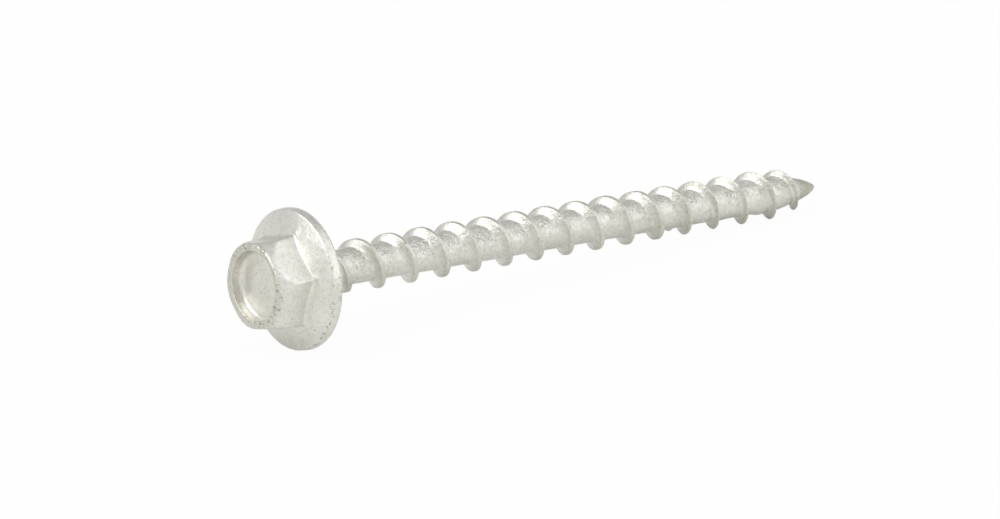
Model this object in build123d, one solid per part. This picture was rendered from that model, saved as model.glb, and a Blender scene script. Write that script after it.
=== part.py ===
from build123d import *
from math import atan, cos, radians, sin, tan
import os

# A forged hex washer head lag screw, lying on the rim of its washer and on its thread.
# All lengths in millimetres, all angles in degrees.

# Whole screw
length = 76.2                # bearing face to tip, a 3 in screw
head_height = 6.3            # bearing face to the end of the hex

# Washer, forged in one with the head
washer_diameter = 15.5
rim_height = 1.25            # side of the washer
rim_rounding = 0.4           # its edge towards the hex
rim_chamfer = 0.25           # its edge at the bearing face
slope_height = 2.35          # the sloping top meets the flats here

# Hex
across_flats = 9.6           # at its foot, for a 3/8 in socket
hex_draft = 1.5              # lean of the flats towards the end
hex_rounding = 0.3           # corner edges, softened by the zinc
hex_turn = 14.0              # turn of the corners from the top towards the front
end_diameter = 9.5           # round end that the corners blend into
end_cone = 20.0              # half angle of that blend
end_chamfer = 0.2            # edge of that round end

# Dish in the end of the hex
dish_diameter = 7.7
dish_depth = 1.3
dish_draft = 6.0
dish_chamfer = 0.35          # between its wall and its floor

# Shank
root_diameter = 4.0
neck_diameter = 6.1          # forging radius under the head, clear of the thread
neck_length = 1.5

# Thread, one start, right hand
thread_diameter = 5.9
start_diameter = 5.65        # under the head, ...
grow_length = 18.0           # ... full from here on
pitch = 4.5
crest_width = 0.65
ridge_width = 1.5            # at its foot
first_crest = 3.35           # the crest passes the top here ...
crest_turn = -15.0           # ... turned this far from the top towards the front
thread_start = 2.0           # the ridge rises out of the shank over one turn
sections_per_turn = 12

# Thread near the tip
sharp_length = 22.0          # the crest is sharp from here on
sharp_width = 0.12
sharp_foot = 1.0             # and its ridge this wide at the foot
fade_length = 7.5            # the crest falls off over this length
fade_diameter = 4.1
run_out = 1.3                # and runs out into the shank
squeeze = 0.95               # the last turn is pulled back this far ...
squeeze_length = 7.0         # ... over this length

# Point
point_length = 5.7           # the shank narrows from here
bare_length = 3.15           # clear of thread
nose_diameter = 1.45         # the narrowing would reach this at the tip, but for the cut faces
tip_width = 0.5              # the blunt tip between the cut faces
cut_angle = 20.0             # lean of the four cut faces
cut_turn = 17.0              # turn of the cut faces from the top towards the front

root_radius = root_diameter / 2
thread_radius = thread_diameter / 2
thread_end = length - bare_length + squeeze    # before the last turn is pulled back
point_start = length - point_length
ridge_foot = 0.3 * root_radius    # the ridge reaches this deep into the shank


def ramp(t):
    """Rises smoothly from 0 to 1."""
    t = min(max(t, 0.0), 1.0)
    return t * t * (3 - 2 * t)


def shank_radius(z):
    left = max(0.0, min(1.0, (length - z) / point_length))
    return nose_diameter / 2 + (root_radius - nose_diameter / 2) * left


def squeezed(z):
    """Where the ridge lies that an even pitch would put at z."""
    return z - squeeze * max(0.0, (z - thread_end + squeeze_length) / squeeze_length) ** 2


def crest_radius(z):
    fall = max(0.0, 1 - (thread_end - z) / fade_length) ** 2
    growth = max(0.0, 1 - z / grow_length)
    full = thread_radius - (thread_radius - fade_diameter / 2) * fall
    full = full - (thread_diameter - start_diameter) / 2 * growth
    share = ramp((z - thread_start) / pitch) * ramp((thread_end - z) / run_out)
    low = shank_radius(squeezed(z)) - 0.1
    return low + (full - low) * share


def ridge_section(z):
    """The thread's ridge where a plane through the axis cuts it, z along the axis."""
    turn = radians(360 * (z - first_crest) / pitch + crest_turn)
    sharp = ramp((z - thread_end + sharp_length) / pitch)
    half_crest = (crest_width + (sharp_width - crest_width) * sharp) / 2
    half_ridge = (ridge_width + (sharp_foot - ridge_width) * sharp) / 2
    lean = (half_ridge - half_crest) / (thread_radius - root_radius)
    crest = crest_radius(z)
    half_foot = half_crest + lean * (crest - ridge_foot)
    outline = [(ridge_foot, -half_foot), (crest, -half_crest), (crest, half_crest), (ridge_foot, half_foot)]
    middle = squeezed(z)
    return Wire.make_polygon([(r * cos(turn), r * sin(turn), middle + along) for r, along in outline])


def make_thread():
    """The ridge in lengths of about one turn, which join the shank more surely than a long one."""
    lengths = round((thread_end - thread_start) / pitch)
    step = (thread_end - thread_start) / lengths / sections_per_turn
    ridge = []
    for length_number in range(lengths):
        start = thread_start + length_number * sections_per_turn * step
        sections = [ridge_section(start + i * step) for i in range(sections_per_turn + 1)]
        ridge.append(Solid.make_loft(sections))
    return ridge


def make_shank():
    outline = Polyline(
        (0, 0), (neck_diameter / 2, 0), (root_radius, neck_length), (root_radius, point_start),
        (nose_diameter / 2, length), (0, length), close=True,
    )
    shank = revolve(Plane.XZ * make_face(outline), Axis.Z)
    # four cut faces run to the blunt tip
    reach = (1.2 * root_radius - tip_width / 2) / tan(radians(cut_angle))
    foot = Plane((0, 0, length - reach)) * Rectangle(2.4 * root_radius, 2.4 * root_radius)
    spear = loft(Sketch() + [foot, Plane((0, 0, length)) * Rectangle(tip_width, tip_width)])
    offcut = Pos(0, 0, length - reach / 2) * Box(3 * root_diameter, 3 * root_diameter, reach)
    return shank - Rot(0, 0, cut_turn) * (offcut - spear)


def make_washer():
    slope_radius = across_flats / 2
    outline = Polyline(
        (0, 0), (washer_diameter / 2, 0), (washer_diameter / 2, rim_height),
        (slope_radius, slope_height), (0, slope_height), close=True,
    )
    washer = revolve(Plane.XZ * make_face(outline), Axis.Z)
    edges = washer.edges().filter_by(GeomType.CIRCLE).group_by(lambda edge: edge.radius)[-1].sort_by(Axis.Z)
    washer = fillet(edges[-1], rim_rounding)
    bearing_edge = washer.edges().filter_by(GeomType.CIRCLE).group_by(Axis.Z)[0]
    return chamfer(bearing_edge, rim_chamfer)


def make_hex():
    foot_flats = across_flats + 2 * (slope_height - rim_height) * tan(radians(hex_draft))
    foot = Rot(0, 0, -hex_turn) * RegularPolygon(foot_flats / 2, 6, major_radius=False, rotation=0)
    hexagon = extrude(Pos(0, 0, rim_height) * foot, head_height - rim_height, taper=hex_draft)
    corners = hexagon.edges().filter_by(Axis.Z, reverse=True).group_by(Axis.Z)[1]
    hexagon = fillet(corners, hex_rounding)
    foot_radius = (end_diameter / 2) + head_height * tan(radians(end_cone))
    end = Pos(0, 0, head_height / 2) * Cone(foot_radius, end_diameter / 2, head_height)
    hexagon = hexagon & chamfer(end.edges().group_by(Axis.Z)[-1], end_chamfer)
    floor_radius = dish_diameter / 2 - dish_depth * tan(radians(dish_draft))
    dish = Pos(0, 0, head_height - dish_depth / 2) * Cone(floor_radius, dish_diameter / 2, dish_depth)
    dish = chamfer(dish.edges().group_by(Axis.Z)[0], dish_chamfer)
    return hexagon - dish


def make_screw():
    """The screw with its bearing face at height 0 and its tip up."""
    head = make_washer() + make_hex()
    # the head is made standing on its bearing face, then turned over
    return Rot(180, 0, 0) * head + make_shank() + make_thread()


def rest_angle():
    """How far the tip dips when the washer's rim and a crest near the tip touch the floor."""
    lowest = first_crest + pitch * (180 - crest_turn) / 360
    crests = [lowest + turn * pitch for turn in range(int((thread_end - lowest) / pitch) + 1)]
    return min(atan((washer_diameter / 2 - crest_radius(z)) / squeezed(z)) for z in crests)


def lay_down(screw):
    """Lies the screw along X, tip to the right, the middle of its footprint at the origin."""
    dip = rest_angle()
    axis = Plane(origin=(0, 0, 0), x_dir=(sin(dip), 0, cos(dip)), z_dir=(cos(dip), 0, -sin(dip)))
    lying = axis.location * screw
    box = lying.bounding_box()
    return Pos(-box.center().X, -box.center().Y, -box.min.Z) * lying


lag_screw = lay_down(make_screw())

os.makedirs("parts", exist_ok=True)
export_step(lag_screw, "parts/lag_screw.step")
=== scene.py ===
import math

import bmesh
import bpy
import numpy as np
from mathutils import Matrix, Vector, noise


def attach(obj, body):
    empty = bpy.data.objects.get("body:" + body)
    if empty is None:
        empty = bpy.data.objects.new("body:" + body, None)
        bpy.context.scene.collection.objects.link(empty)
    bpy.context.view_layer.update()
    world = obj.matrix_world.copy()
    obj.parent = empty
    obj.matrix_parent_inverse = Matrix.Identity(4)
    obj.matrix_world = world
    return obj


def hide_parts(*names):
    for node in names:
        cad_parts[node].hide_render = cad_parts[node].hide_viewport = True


# A hot-dip galvanised lag screw lying on a white table.
# Sizes in the settings are millimetres and degrees; the mesh is made in metres.
# Angles run from the top of the lying screw towards its front.

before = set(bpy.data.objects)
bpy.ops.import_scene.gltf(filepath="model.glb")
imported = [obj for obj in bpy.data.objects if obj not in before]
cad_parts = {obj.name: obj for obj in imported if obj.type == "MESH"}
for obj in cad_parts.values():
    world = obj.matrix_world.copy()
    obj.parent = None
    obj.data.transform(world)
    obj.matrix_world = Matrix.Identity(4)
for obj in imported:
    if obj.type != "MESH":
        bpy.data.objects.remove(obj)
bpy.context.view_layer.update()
mm = 0.001


# A smooth step from 0 to 1.
def ramp(t):
    t = np.clip(t, 0.0, 1.0)
    return t * t * (3 - 2 * t)


# The larger of two, with the step between them rounded over this width.
def softMax(a, b, width):
    near = np.clip(0.5 + 0.5 * (a - b) / width, 0.0, 1.0)
    return b + (a - b) * near + width * near * (1 - near)


def softMin(a, b, width):
    return -softMax(-a, -b, width)


shank = {
    "length": 76.2,
    "rootRadius": 2.0,
    "neckRadius": 3.05,
    "neckLength": 1.5,
    "neckPower": 1.6,  # higher makes the forging radius tighter
    "buried": 0.7,  # runs this far into the head
    "threadRadius": 2.97,
    "startRadius": 2.84,  # the crest under the head
    "growLength": 18.0,
    "pitch": 4.5,
    "crestWidth": 0.65,
    "ridgeWidth": 1.5,
    "crestTrim": 0.18,  # the side towards the head starts nearer the crest's middle
    "footTrim": 0.06,
    "firstCrest": 3.4,
    "crestTurn": -15.0,
    "threadStart": 2.0,
    "threadEnd": 74.0,
    "sunk": 0.15,  # the ridge rises from this far under the shank's skin
    "sharpLength": 22.0,  # the crest is sharp over this length before the tip
    "sharpWidth": 0.1,
    "sharpFoot": 1.0,
    "fadeLength": 7.5,
    "fadeRadius": 2.12,
    "runOut": 0.9,
    "squeeze": 0.95,  # the last turn is pulled back this far
    "squeezeLength": 7.0,
    "skew": 0.12,  # the ridge lies nearer the head along the top than below
    "thinning": 0.25,  # the sharp crest is lower beside its lowest side
    "thinningTurn": 160.0,
    "pointLength": 5.7,
    "pointBlend": 0.12,
    "noseRadius": 0.725,
    "tipWidth": 0.5,
    "cutAngle": 20.0,
    "cutTurn": 17.0,
    "tipRounding": 0.3,
    "footBlendHeadSide": 0.26,  # zinc fills the foot of the ridge
    "footBlendFront": 0.2,  # more of it on the front
    "frontTurn": 60.0,
    "footBlendTipSide": 0.18,
    "crestBlend": 0.07,
    "crestWave": (2.3, 0.05),  # waves in a turn, and their height
    "seamDepth": 0.08,  # rolling leaves a seam along the flat crest
    "seamWidth": 0.13,
    "seamWave": (3.1, 0.12),
    "seamBreaks": (1.7, 0.6, 1.6),  # it comes and goes: waves in a turn, middle and most
    # zinc lumps: place along the screw, angle, height and size
    "lumps": [(53.0, 165.0, 0.25, 0.4), (61.0, 165.0, 0.08, 0.5), (67.0, 165.0, 0.2, 0.9)],
    "rowsPerTurn": 78,
    "spare": (1.35, 5.2),  # turns of the grid before the first crest, and length past the tip
    # columns across the ridge: from, to and how many
    "columns": [(0.0, 0.36, 6), (0.36, 0.81, 6), (0.81, 1.2, 4)],
    "rootColumns": 5,
}

# How the skin differs over the shank; the layers run from 0 to 1.
shankSkin = {
    "ridgeHeight": 0.3,  # higher than this counts as ridge
    "crestCrust": 0.4,
    "crustReach": 0.55,
    "crumpleAndShadeTurn": 35.0,  # the root is crumpled most along two opposite sides, one of them where it takes its highlight; its darker flecks there are partly painted shade
    "crumpleAndShadeLeast": 0.3,
    "ridgeCrumpleAndShade": 0.45,
    "rootEdge": 0.15,
    "crestDull": 0.4,  # the flat crest and the bare tip are duller
    "crestDullEdge": 0.16,  # this far past the crest's own edge
    "tipDull": (72.2, 0.8),  # from here, over this length
}


def shankRadius(z, angle):
    s = shank
    upNeck = np.clip(1 - z / s["neckLength"], 0, 1.3) ** s["neckPower"]
    neck = s["rootRadius"] + (s["neckRadius"] - s["rootRadius"]) * upNeck
    left = np.maximum(s["length"] - z, 0.0)
    cone = s["noseRadius"] + (s["rootRadius"] - s["noseRadius"]) * left / s["pointLength"]
    # four cut faces
    side = (angle - math.radians(s["cutTurn"]) + math.pi / 4) % (math.pi / 2) - math.pi / 4
    flat = (s["tipWidth"] / 2 + left * math.tan(math.radians(s["cutAngle"]))) / np.cos(side)
    point = softMin(cone, flat, s["pointBlend"])
    radius = softMin(neck, point, s["pointBlend"])
    for lumpZ, lumpAngle, height, size in s["lumps"]:
        turn = (angle - math.radians(lumpAngle) + math.pi) % (2 * math.pi) - math.pi
        away = (z - lumpZ) ** 2 + (turn * s["rootRadius"]) ** 2
        radius = radius + height * np.exp(-away / size ** 2)
    tip = np.sqrt(left * 2 * s["tipRounding"])
    return np.maximum(np.minimum(radius, tip), 0.0)


# Where the ridge lies that an even pitch would put at z.
def squeezed(z):
    late = np.maximum(z - shank["threadEnd"] + shank["squeezeLength"], 0.0) / shank["squeezeLength"]
    return z - shank["squeeze"] * late ** 2


def crestRadius(z, angle, sharp):
    s = shank
    fall = np.clip(1 - (s["threadEnd"] - z) / s["fadeLength"], 0, 1) ** 2
    full = s["threadRadius"] - (s["threadRadius"] - s["fadeRadius"]) * fall
    full = full - (s["threadRadius"] - s["startRadius"]) * np.maximum(1 - z / s["growLength"], 0.0)
    lowSide = np.cos(angle - math.radians(s["thinningTurn"]))
    beside = ramp(lowSide + 0.5) * (1 - np.maximum(lowSide, 0) ** 6)
    full = full - s["thinning"] * sharp * beside
    share = ramp((z - s["threadStart"]) / s["pitch"]) * ramp((s["threadEnd"] - z) / s["runOut"])
    low = shankRadius(squeezed(z), 0.0) - s["sunk"]
    return low + (full - low) * share


# Noise along the helix, one value for each row.
def helixNoise(turn, wavesPerTurn, seed):
    values = [noise.noise(Vector((t * wavesPerTurn, seed, 0.5))) for t in turn[:, 0]]
    return np.array(values)[:, None]


# Rows run round the screw with the helix, and columns run across one pitch of it.
def shankGrid():
    s = shank
    side = [np.zeros(1)]
    for start, stop, steps in s["columns"] + [(s["columns"][-1][1], s["pitch"] / 2, s["rootColumns"])]:
        side.append(np.linspace(start, stop, steps + 1)[1:])
    side = np.concatenate(side)
    across = np.concatenate([-side[:0:-1], side])[None, :]
    turnsBefore, lengthAfter = s["spare"]
    lastTurn = (s["length"] + lengthAfter - s["firstCrest"]) / s["pitch"]
    rows = int((lastTurn + turnsBefore) * s["rowsPerTurn"])
    turn = -turnsBefore + np.arange(rows + 1)[:, None] / s["rowsPerTurn"]
    even = s["firstCrest"] + s["pitch"] * turn
    ridgeZ = squeezed(even)
    angle = 2 * math.pi * turn + math.radians(s["crestTurn"])
    wanted = squeezed(even + across)
    z = np.clip(wanted, -s["buried"], s["length"])
    away = wanted - ridgeZ + s["skew"] * np.cos(angle)

    # the ridge's section
    sharp = ramp((even - s["threadEnd"] + s["sharpLength"]) / s["pitch"])
    halfCrest = (s["crestWidth"] + (s["sharpWidth"] - s["crestWidth"]) * sharp) / 2
    halfRidge = (s["ridgeWidth"] + (s["sharpFoot"] - s["ridgeWidth"]) * sharp) / 2
    headSide = np.where(away < 0, 1.0, 0.0) * (1 - sharp)
    halfCrest = halfCrest - s["crestTrim"] * headSide
    halfRidge = halfRidge - s["footTrim"] * headSide
    lean = (halfRidge - halfCrest) / (s["threadRadius"] - s["rootRadius"])
    flank = (np.abs(away) - halfCrest) / lean
    waves, waveHeight = s["crestWave"]
    crest = crestRadius(even, angle, sharp) + waveHeight * helixNoise(turn, waves, 1.0)
    waves, waveWidth = s["seamWave"]
    seamPlace = waveWidth * helixNoise(turn, waves, 9.0)
    waves, middle, most = s["seamBreaks"]
    seamShare = np.clip(middle + most * helixNoise(turn, waves, 5.0), 0.0, most)
    seamDepth = s["seamDepth"] * (1 - sharp) * seamShare
    seam = seamDepth * np.exp(-((away - seamPlace) / s["seamWidth"]) ** 2)
    ridge = crest - softMax(flank, 0.0 * flank, s["crestBlend"]) - seam

    # the ridge grows out of the shank where it stands clear of it
    core = shankRadius(z, angle)
    front = s["footBlendFront"] * np.maximum(np.cos(angle - math.radians(s["frontTurn"])), 0)
    blend = np.where(away < 0, s["footBlendHeadSide"] + front, s["footBlendTipSide"]) + 0 * core
    bare = shankRadius(ridgeZ, 0.0) - s["sunk"] + 0.01
    radius = np.where(crest > bare, softMax(core, ridge, blend), core)
    radius = np.where(z >= s["length"] - 1e-6, 0.0, radius)
    points = np.stack([radius * np.cos(angle), radius * np.sin(angle), z + 0 * radius], axis=2)

    k = shankSkin
    height = radius - core
    onRidge = height > k["ridgeHeight"]
    crust = k["crestCrust"] * np.clip(1 - np.abs(away) / k["crustReach"], 0, 1) * onRidge
    # crumpled grain on the root, most on the side that takes the highlight; the darker flecks it brings are
    # partly painted shade
    crumpleAndShaded = np.maximum(1 - ramp(height / k["rootEdge"]), k["ridgeCrumpleAndShade"])
    facing = np.cos(angle - math.radians(k["crumpleAndShadeTurn"])) ** 4
    crumpleAndShade = crumpleAndShaded * (k["crumpleAndShadeLeast"] + (1 - k["crumpleAndShadeLeast"]) * facing)
    crestMiddle = (s["crestTrim"] / 2) * (1 - sharp)
    crestReach = np.maximum(halfCrest * 0.5 + k["crestDullEdge"], 0.12)
    onCrest = ramp(2.2 - np.abs(away - crestMiddle) / crestReach)
    tipStart, tipOver = k["tipDull"]
    dullAndShade = np.maximum(k["crestDull"] * onCrest * onRidge, ramp((z - tipStart) / tipOver))
    return points, {"crust": crust, "crumpleAndShade": crumpleAndShade, "dullAndShade": dullAndShade}


head = {
    "height": 6.3,
    "offset": 0.4,  # the forged head sits a little low on the shank
    "sag": 0.1,  # and its hex bulges a little further down
    "washerRadius": 7.8,
    "rimHeight": 1.25,
    "rimRounding": 0.16,
    "rimBulge": 0.06,
    "bearingRounding": 0.35,
    "slopeHeight": 2.35,
    "creaseHeight": 0.07,  # the hex corners run out over the slope as faint creases
    "creaseWidth": 4.0,
    "acrossFlats": 9.66,
    "draft": 1.5,
    "footRounding": 0.28,
    "turn": 14.0,
    "endRadius": 4.66,
    "endCone": 27.0,
    "endShift": 0.14,  # the end is cut less at its lower back
    "endTurn": -135.0,
    "cornerPower": 110,  # higher makes the six corners crisper
    "endPower": 40,
    "endRounding": 0.16,
    "dishRadius": 3.85,
    "dishDepth": 1.3,
    "dishDraft": 0.2,
    "dishRounding": 0.95,
    "dishRise": 0.5,
    "lipRounding": 0.14,
    "columns": 300,
    "sideRings": 26,
    "slopeRings": 14,
}

# Where crust, dull metal and the painted shade in the dish lie on the head: share everywhere, extra share,
# and reach.
headSkin = {
    "crustTurn": 115.0,  # most crust is on the front and lower side
    "backCrustTurn": -35.0,
    "rimCrust": (0.1, 0.9, 0.5),
    "bearingCrust": (0.2, 0.7, 0.4),
    "endCrust": (0.15, 0.85, 0.6),
    "lipCrust": (0.4, 0.25),
    "endDull": (0.6, 0.5),  # the sheared end is duller than the pressed sides
    # painted shade in the dish, darkest at its middle, where the floor is also rougher
    "dishShade": (0.3, 3.2),
}


def hexRadius(angle, height):
    h = head
    flat = h["acrossFlats"] / 2 + (h["slopeHeight"] - height) * math.tan(math.radians(h["draft"]))
    power = h["cornerPower"]
    total = 0.0
    for side in range(6):
        normal = math.radians(h["turn"] + 30 + 60 * side)
        total = total + np.maximum(np.cos(angle - normal) / flat, 0.0) ** power
    sides = total ** (-1 / power)
    cone = h["endRadius"] + (h["height"] - height) * math.tan(math.radians(h["endCone"]))
    cone = cone + h["endShift"] * np.cos(angle - math.radians(h["endTurn"]))
    end = h["endPower"]
    return (sides ** -end + (cone + 0 * sides) ** -end) ** (-1 / end)


# Rings of a rounded corner between two rings, both ends left out.
def bend(start, corner, stop, steps):
    t = np.arange(1, steps + 1)[:, None, None] / (steps + 1)
    return list((1 - t) ** 2 * start + 2 * t * (1 - t) * corner + t ** 2 * stop)


# Rings between two rings, the first one included.
def between(start, stop, steps):
    return [start + (stop - start) * i / steps for i in range(steps)]


# Rings run from the middle of the dish, over the hex and the washer, to the bearing face.
def headGrid():
    h = head
    angle = np.linspace(0, 2 * math.pi, h["columns"], endpoint=False)
    one = np.ones_like(angle)

    def ring(radius, height):
        return np.stack([radius * one, height * one], axis=1)

    slope = (h["slopeHeight"] - h["rimHeight"]) / (h["washerRadius"] - h["acrossFlats"] / 2)
    floorHeight = h["height"] - h["dishDepth"]
    wallFoot = h["dishRadius"] - h["dishDraft"]
    sideTop = h["height"] - h["endRounding"]
    # where the hex meets the sloping top
    foot = hexRadius(angle, h["slopeHeight"])
    for _ in range(4):
        footHeight = h["rimHeight"] + (h["washerRadius"] - foot) * slope
        foot = hexRadius(angle, footHeight)
    floorEdge = ring(wallFoot - h["dishRounding"], floorHeight)
    wallStart = ring(wallFoot + 0.06, floorHeight + h["dishRise"])
    lipStart = ring(h["dishRadius"] - 0.02, h["height"] - h["lipRounding"])
    lipEnd = ring(h["dishRadius"] + h["lipRounding"], h["height"])
    endRadius = hexRadius(angle, h["height"])
    outer = ring(np.maximum(endRadius - h["endRounding"], lipEnd[:, 0] + 0.02), h["height"])
    sideStart = ring(hexRadius(angle, sideTop), sideTop)
    filletTop = footHeight + h["footRounding"]
    filletStart = ring(hexRadius(angle, filletTop), filletTop)
    slopeStart = ring(foot + h["footRounding"], footHeight - h["footRounding"] * slope)
    # the rim's side is a little round
    rimTop = ring(h["washerRadius"] - h["rimBulge"], h["rimHeight"] - h["rimRounding"])
    slopeEnd = ring(rimTop[0, 0] - h["rimRounding"], h["rimHeight"] + h["rimRounding"] * slope)
    rimFoot = ring(h["washerRadius"], h["bearingRounding"])
    faceEdge = ring(h["washerRadius"] - h["bearingRounding"], 0.0)
    turned = (angle - math.radians(h["turn"]) + math.pi / 6) % (math.pi / 3) - math.pi / 6
    crease = h["creaseHeight"] * np.exp(-(turned / math.radians(h["creaseWidth"])) ** 2)

    rings = between(ring(0.0, floorHeight), floorEdge, 12) + [floorEdge]
    rings += bend(floorEdge, ring(wallFoot, floorHeight), wallStart, 8)
    rings += between(wallStart, lipStart, 4) + [lipStart]
    rings += bend(lipStart, ring(h["dishRadius"], h["height"]), lipEnd, 4)
    rings += between(lipEnd, outer, 4) + [outer]
    rings += bend(outer, ring(endRadius, h["height"]), sideStart, 6)
    for t in np.linspace(0, 1, h["sideRings"]):
        height = sideTop * (1 - t) + filletStart[:, 1] * t
        rings.append(ring(hexRadius(angle, height), height))
    rings += bend(filletStart, ring(foot, footHeight), slopeStart, 5)
    for i, slopeRing in enumerate(between(slopeStart, slopeEnd, h["slopeRings"])):
        slopeRing[:, 1] += crease * (1 - i / h["slopeRings"])
        rings.append(slopeRing)
    rings += [slopeEnd] + bend(slopeEnd, ring(rimTop[0, 0], h["rimHeight"]), rimTop, 4)
    bulge = ring(h["washerRadius"], h["rimHeight"] * 0.6)
    rings += [rimTop] + bend(rimTop, bulge, rimFoot, 7) + [rimFoot]
    rings += bend(rimFoot, ring(rimFoot[0, 0], 0.0), faceEdge, 5)
    rings += between(faceEdge, ring(0.0, 0.0), 9) + [ring(0.0, 0.0)]
    profile = np.stack(rings)
    radius, height = profile[:, :, 0], profile[:, :, 1]
    upHex = np.maximum(height - h["slopeHeight"], 0.0) / (h["height"] - h["slopeHeight"])
    down = h["offset"] + h["sag"] * np.sin(math.pi * upHex)
    points = np.stack([radius * np.cos(angle) - down, radius * np.sin(angle), -height], axis=2)

    def near(edgeRadius, edgeHeight, reach):
        return np.exp(-((radius - edgeRadius) ** 2 + (height - edgeHeight) ** 2) / reach ** 2)

    k = headSkin
    lowFront = 0.5 + 0.5 * np.cos(angle - math.radians(k["crustTurn"]))
    backTop = 0.5 + 0.5 * np.cos(angle - math.radians(k["backCrustTurn"]))
    least, more, reach = k["rimCrust"]
    crust = near(h["washerRadius"], h["rimHeight"], reach) * (least + more * lowFront ** 2)
    least, more, reach = k["bearingCrust"]
    crust = crust + near(h["washerRadius"], 0.0, reach) * (least + more * lowFront)
    least, more, reach = k["endCrust"]
    endSides = np.maximum(lowFront ** 3, backTop ** 3)
    crust = crust + near(endRadius, h["height"], reach) * (least + more * endSides)
    share, reach = k["lipCrust"]
    crust = crust + share * near(h["dishRadius"], h["height"], reach)
    share, reach = k["endDull"]
    dullAndShade = share * near(0.5 * (h["dishRadius"] + h["endRadius"]), h["height"], reach)
    # the dish gets painted shade, darkest at its middle, and is a little rougher there
    share, reach = k["dishShade"]
    dullAndShade = dullAndShade + share * near(0, floorHeight, reach)
    return points, {"crust": np.minimum(crust, 1.0), "crumpleAndShade": 0 * crust, "dullAndShade": dullAndShade}


# Where the shank lies: its end in the bearing face, and how far its tip dips.
rest = {
    "bearingFace": (-34.672, 0.0, 8.131),
    "dip": 4.3963,
}

# The zinc coat's unevenness: size across and height of each kind of wave.
zinc = {
    "waves": [(9.0, 0.035), (2.6, 0.03), (0.9, 0.016)],
    "crustWave": (0.45, 0.045),  # and of the crust along edges
    "calmHead": 0.5,  # the head is smoother than the shank
    "wavesPerSize": 1.3,
    "seed": 7,
}


# The screw's own axes (top, front, along it) to the model's, in metres.
def toModel(points):
    dip = math.radians(rest["dip"])
    top = np.array([math.sin(dip), 0.0, math.cos(dip)])
    front = np.array([0.0, -1.0, 0.0])
    along = np.array([math.cos(dip), 0.0, -math.sin(dip)])
    axes = np.stack([top, front, along])
    return (np.asarray(points) @ axes + np.array(rest["bearingFace"])) * mm


# Adds a grid of points as quads; closed joins its last column to its first.
def addGrid(mesh, layers, grid, closed):
    points, skin = grid
    rows, columns = points.shape[:2]
    verts = []
    for i in range(rows):
        line = []
        for j in range(columns):
            vert = mesh.verts.new(points[i, j])
            for name, layer in layers.items():
                vert[layer] = skin[name][i, j]
            line.append(vert)
        verts.append(line)
    for i in range(rows - 1):
        for j in range(columns if closed else columns - 1):
            k = (j + 1) % columns
            mesh.faces.new((verts[i][j], verts[i][k], verts[i + 1][k], verts[i + 1][j]))


# Moves each point along its normal by the zinc coat's waves.
def roughen(mesh, layers):
    offset = Vector((zinc["seed"], 0, 0))
    moves = []
    for vert in mesh.verts:
        lift = 0.0
        calm = 1.0 if vert.co.z > 0 else zinc["calmHead"]
        for size, amount in zinc["waves"]:
            lift += calm * amount * noise.noise(vert.co / size * zinc["wavesPerSize"] + offset)
        size, amount = zinc["crustWave"]
        bumps = noise.noise(vert.co / size * zinc["wavesPerSize"] + offset)
        lift += amount * vert[layers["crust"]] * bumps
        moves.append(vert.normal * lift)
    for vert, move in zip(mesh.verts, moves):
        vert.co += move


def makeScrew():
    mesh = bmesh.new()
    layers = {name: mesh.verts.layers.float.new(name) for name in ("crust", "crumpleAndShade", "dullAndShade")}
    addGrid(mesh, layers, shankGrid(), False)
    addGrid(mesh, layers, headGrid(), True)
    # joins the turns of the shank, and closes the middles of the dish, the bearing face and the tip
    bmesh.ops.remove_doubles(mesh, verts=mesh.verts, dist=0.004)
    bmesh.ops.dissolve_degenerate(mesh, edges=mesh.edges, dist=0.002)
    bmesh.ops.recalc_face_normals(mesh, faces=mesh.faces)
    mesh.normal_update()
    roughen(mesh, layers)
    points = toModel([tuple(vert.co) for vert in mesh.verts])
    for vert, point in zip(mesh.verts, points):
        vert.co = point
    data = bpy.data.meshes.new("lagScrew")
    mesh.to_mesh(data)
    mesh.free()
    for face in data.polygons:
        face.use_smooth = True
    screw = bpy.data.objects.new("lagScrew", data)
    bpy.context.collection.objects.link(screw)
    print("screw", sum(len(face.vertices) - 2 for face in data.polygons), "triangles")
    return screw


# An sRGB hex colour as linear values.
def linear(hexColour):
    values = [int(hexColour[i:i + 2], 16) / 255 for i in (1, 3, 5)]
    return [v / 12.92 if v <= 0.04045 else ((v + 0.055) / 1.055) ** 2.4 for v in values] + [1.0]


# Adds a node with its settings and links, and gives back one of its outputs.
# in0, in1 and so on name inputs by number; a ramp's stops are a place with a grey or a hex colour.
def addNode(tree, kind, settings=None, out=0, stops=(), **links):
    node = tree.nodes.new("ShaderNode" + kind)
    for name, value in (settings or {}).items():
        setattr(node, name, value)
    for name, value in links.items():
        key = int(name[2:]) if name[2:].isdigit() else name.replace("_", " ")
        if isinstance(value, bpy.types.NodeSocket):
            tree.links.new(value, node.inputs[key])
        else:
            node.inputs[key].default_value = value
    for i, (position, colour) in enumerate(stops):
        if i == len(node.color_ramp.elements):
            node.color_ramp.elements.new(1.0)
        element = node.color_ramp.elements[i]
        element.position = position
        element.color = linear(colour) if isinstance(colour, str) else (colour, colour, colour, 1.0)
    return node.outputs[out] if node.outputs else node


# The coat's patterns: how many millimetres each is across, and how high it stands.
coat = {
    "cloudSize": 3.6,
    "peelSize": 0.8,
    "peelHeight": 0.08,
    "mottleSize": 0.36,
    "mottleHeight": 0.05,
    "fleckSize": 0.55,
    "fleckHeight": 0.34,
    "pitSize": 0.42,
    "pitHeight": 0.12,
    "patchSize": 2.2,
    "dullZinc": "#e6e5dd",
    "brightZinc": "#f2f0ea",
    "dullAndShadeTint": "#dcdcd6",
    "pit": "#8a867c",
}
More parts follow.
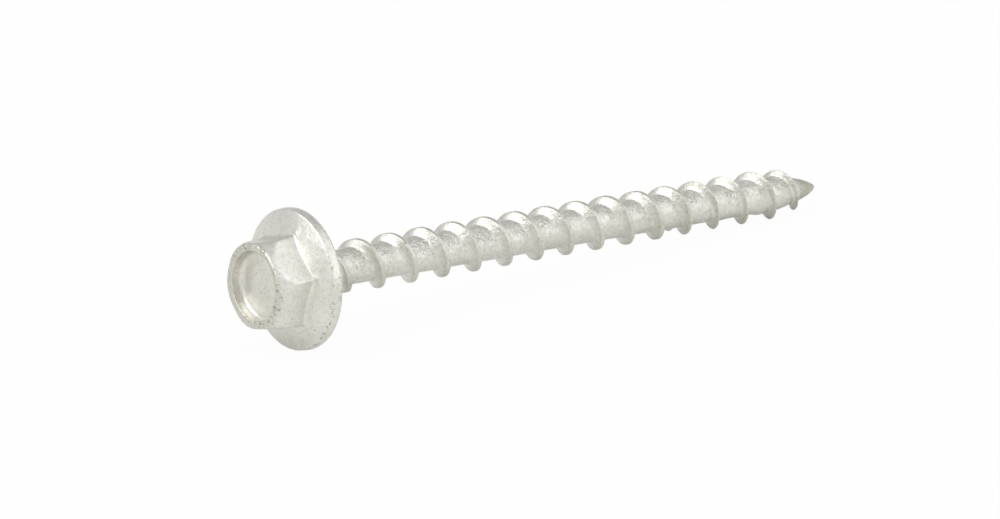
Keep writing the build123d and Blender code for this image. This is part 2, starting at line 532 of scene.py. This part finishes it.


# Hot-dipped zinc on rolled and forged steel: a bright satin metal, clouded and a little lumpy.
# The rolled root shows as crumpled flecks, whose darkening is partly painted shade on its lit side, and the
# edges as a crust with dark pits.
def galvanisedZinc():
    c = coat
    material = bpy.data.materials.new("galvanised steel, hot dipped")
    material.use_nodes = True
    tree = material.node_tree
    tree.nodes.clear()
    times = {"operation": "MULTIPLY"}
    timesPlus = {"operation": "MULTIPLY_ADD"}
    minus = {"operation": "SUBTRACT"}
    tint = {"data_type": "RGBA", "blend_type": "MULTIPLY"}
    cover = {"data_type": "RGBA", "blend_type": "MIX"}

    inMetres = addNode(tree, "TexCoord", out="Object")
    place = addNode(tree, "VectorMath", {"operation": "SCALE"}, in0=inMetres, Scale=1 / mm)
    crust = addNode(tree, "Attribute", {"attribute_name": "crust"}, out="Fac")
    crumpleAndShade = addNode(tree, "Attribute", {"attribute_name": "crumpleAndShade"}, out="Fac")
    dullAndShade = addNode(tree, "Attribute", {"attribute_name": "dullAndShade"}, out="Fac")

    clouds = addNode(tree, "TexNoise", Vector=place, Scale=1 / c["cloudSize"], Detail=4.0, Roughness=0.6)
    peel = addNode(tree, "TexNoise", Vector=place, Scale=1 / c["peelSize"], Detail=2.0, Roughness=0.5)
    mottle = addNode(tree, "TexNoise", Vector=place, Scale=1 / c["mottleSize"], Detail=3.0, Roughness=0.65)
    flecks = addNode(
        tree, "TexNoise", Vector=place, Scale=1 / c["fleckSize"],
        Detail=2.5, Roughness=0.55, Distortion=1.6,
    )
    pitNoise = addNode(tree, "TexNoise", Vector=place, Scale=1 / c["pitSize"], Detail=3.0, Roughness=0.65)
    patches = addNode(tree, "TexNoise", Vector=place, Scale=1 / c["patchSize"], Detail=2.0, Roughness=0.5)

    # pits gather in the crust, and few lie outside it
    reach = addNode(tree, "Math", timesPlus, in0=crust, in1=0.15, in2=pitNoise)
    reach = addNode(tree, "Math", timesPlus, in0=patches, in1=0.1, in2=reach)
    pits = addNode(tree, "ValToRGB", Fac=reach, stops=[(0.7, 0.0), (0.84, 0.9)])

    colour = addNode(tree, "ValToRGB", Fac=clouds, stops=[(0.36, c["dullZinc"]), (0.62, c["brightZinc"])])
    shade = addNode(tree, "ValToRGB", Fac=mottle, stops=[(0.3, 0.81), (0.55, 1.0)])
    colour = addNode(tree, "Mix", tint, out=2, in0=0.8, in6=colour, in7=shade)
    # darker flecks on the crumpled root: rolled grain, and painted shade on the root's lit side
    shade = addNode(tree, "ValToRGB", Fac=flecks, stops=[(0.36, 0.74), (0.54, 0.97)])
    share = addNode(tree, "Math", times, in0=crumpleAndShade, in1=0.8)
    colour = addNode(tree, "Mix", tint, out=2, in0=share, in6=colour, in7=shade)
    # greyer where the metal is dull, and painted shade in the dish
    colour = addNode(tree, "Mix", tint, out=2, in0=dullAndShade, in6=colour, in7=linear(c["dullAndShadeTint"]))
    colour = addNode(tree, "Mix", cover, out=2, in0=pits, in6=colour, in7=linear(c["pit"]))

    # satin zinc, rougher in the crust, on the dull faces and most of all in the pits
    rough = addNode(tree, "ValToRGB", Fac=clouds, stops=[(0.3, 0.36), (0.7, 0.26)])
    for layer, more in ((crust, 0.12), (crumpleAndShade, 0.02), (dullAndShade, 0.08), (pits, 0.3)):
        rough = addNode(tree, "Math", timesPlus, in0=layer, in1=more, in2=rough)

    strongPatches = addNode(tree, "ValToRGB", Fac=patches, stops=[(0.42, 0.25), (0.6, 1.0)])
    fleckHeight = addNode(tree, "Math", minus, in0=flecks, in1=0.5)
    fleckHeight = addNode(tree, "Math", times, in0=fleckHeight, in1=crumpleAndShade)
    fleckHeight = addNode(tree, "Math", times, in0=fleckHeight, in1=strongPatches)
    crustHeight = addNode(tree, "Math", minus, in0=pitNoise, in1=0.5)
    crustHeight = addNode(tree, "Math", times, in0=crustHeight, in1=crust)
    normal = addNode(tree, "Bump", Height=peel, Strength=0.35, Distance=c["peelHeight"] * mm)
    for height, strength, size in (
        (mottle, 0.4, c["mottleHeight"]),
        (fleckHeight, 1.0, c["fleckHeight"]),
        (crustHeight, 0.6, c["pitHeight"]),
    ):
        normal = addNode(tree, "Bump", Height=height, Strength=strength, Distance=size * mm, Normal=normal)

    metal = addNode(
        tree, "BsdfPrincipled", Base_Color=colour,
        Metallic=1.0, Roughness=rough, Normal=normal,
    )
    addNode(tree, "OutputMaterial", Surface=metal)
    print("material", material.name)
    return material


table = {
    "size": 6.0,  # metres
    "paper": "#e6e6e2",
    "whiteToEye": 0.96,
    "whiteInMetal": 0.2,
}


# Matt paper: white to the eye and in the metal, with a soft shadow on it.
def whitePaper():
    material = bpy.data.materials.new("white paper, matt")
    material.use_nodes = True
    tree = material.node_tree
    tree.nodes.clear()
    times = {"operation": "MULTIPLY"}
    larger = {"operation": "MAXIMUM"}
    seen = addNode(tree, "LightPath", out="Is Camera Ray")
    inGloss = addNode(tree, "LightPath", out="Is Glossy Ray")
    inGlass = addNode(tree, "LightPath", out="Is Transmission Ray")
    mirrored = addNode(tree, "Math", larger, in0=inGloss, in1=inGlass)
    share = addNode(tree, "Math", times, in0=seen, in1=table["whiteToEye"])
    mirroredShare = addNode(tree, "Math", times, in0=mirrored, in1=table["whiteInMetal"])
    share = addNode(tree, "Math", larger, in0=share, in1=mirroredShare)
    paper = addNode(tree, "BsdfDiffuse", Color=linear(table["paper"]))
    white = addNode(tree, "Emission", Color=linear("#ffffff"), Strength=1.0)
    surface = addNode(tree, "MixShader", in0=share, in1=paper, in2=white)
    addNode(tree, "OutputMaterial", Surface=surface)
    return material


def makeTable():
    bpy.ops.mesh.primitive_plane_add(size=table["size"])
    top = bpy.context.object
    top.name = "table"
    top.data.materials.append(whitePaper())
    print("table")


# The light round the screw: a grey back, and soft windows in it.
# A window is a direction, a strength, and the cosines of its edge and of its core.
room = {
    "back": 0.565,
    "windows": [
        ((-0.66, 0.16, 0.75), 1.4, 0.79, 0.9),
        ((0.55, -0.55, 0.6), 0.5, 0.7, 0.94),
        ((0.0, -0.98, 0.15), 0.2, 0.5, 0.9),
        ((0.0, 0.0, -1.0), 0.16, -0.45, 0.0),  # the bright foot of the walls
    ],
    "lampPlace": (-0.2, -0.2, 0.8),  # metres
    "lampSize": (0.5, 0.4),
    "lampPower": 0.3,
}


# A pale room with soft windows, greyer behind the screw.
def makeRoom():
    world = bpy.data.worlds.new("room")
    bpy.context.scene.world = world
    world.use_nodes = True
    tree = world.node_tree
    tree.nodes.clear()
    way = addNode(tree, "TexCoord", out="Generated")
    level = room["back"]
    for direction, strength, edge, core in room["windows"]:
        toward = Vector(direction).normalized()
        facing = addNode(tree, "VectorMath", {"operation": "DOT_PRODUCT"}, out="Value", in0=way, in1=toward)
        soft = addNode(
            tree, "MapRange", {"interpolation_type": "SMOOTHSTEP"}, in0=facing,
            in1=edge, in2=core, in3=0.0, in4=strength,
        )
        level = addNode(tree, "Math", {"operation": "ADD"}, in0=level, in1=soft)
    sky = addNode(tree, "Background", Color=linear("#ffffff"), Strength=level)
    addNode(tree, "OutputWorld", Surface=sky)
    print("room")


def makeLamp():
    light = bpy.data.lights.new("overheadLamp", "AREA")
    light.shape = "RECTANGLE"
    light.size, light.size_y = room["lampSize"]
    light.energy = room["lampPower"]
    lamp = bpy.data.objects.new("overheadLamp", light)
    bpy.context.collection.objects.link(lamp)
    lamp.location = room["lampPlace"]
    lamp.rotation_mode = "QUATERNION"
    lamp.rotation_quaternion = (-Vector(room["lampPlace"])).to_track_quat("-Z", "Y")
    print("lamp")


# A long lens, looking down on the screw from the side of its head.
view = {
    "place": (-314.44, -376.29, 172.92),
    "aim": (-4.75, 2.353, 2.634),
    "lens": 165.1,
    "sensor": 36.0,
    "clipStart": 20.0,
}


def makeCamera():
    data = bpy.data.cameras.new("camera")
    data.sensor_width = view["sensor"]
    data.lens = view["lens"]
    data.clip_start = view["clipStart"] * mm
    camera = bpy.data.objects.new("camera", data)
    bpy.context.collection.objects.link(camera)
    camera.location = Vector(view["place"]) * mm
    aim = Vector(view["aim"]) * mm
    camera.rotation_mode = "QUATERNION"
    camera.rotation_quaternion = (aim - camera.location).to_track_quat("-Z", "Y")
    bpy.context.scene.camera = camera
    print("camera")


screw = makeScrew()
screw.data.materials.append(galvanisedZinc())
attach(screw, "root")
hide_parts("lag_screw")
makeTable()
makeRoom()
makeLamp()
makeCamera()
bpy.context.scene.view_settings.view_transform = "Standard"
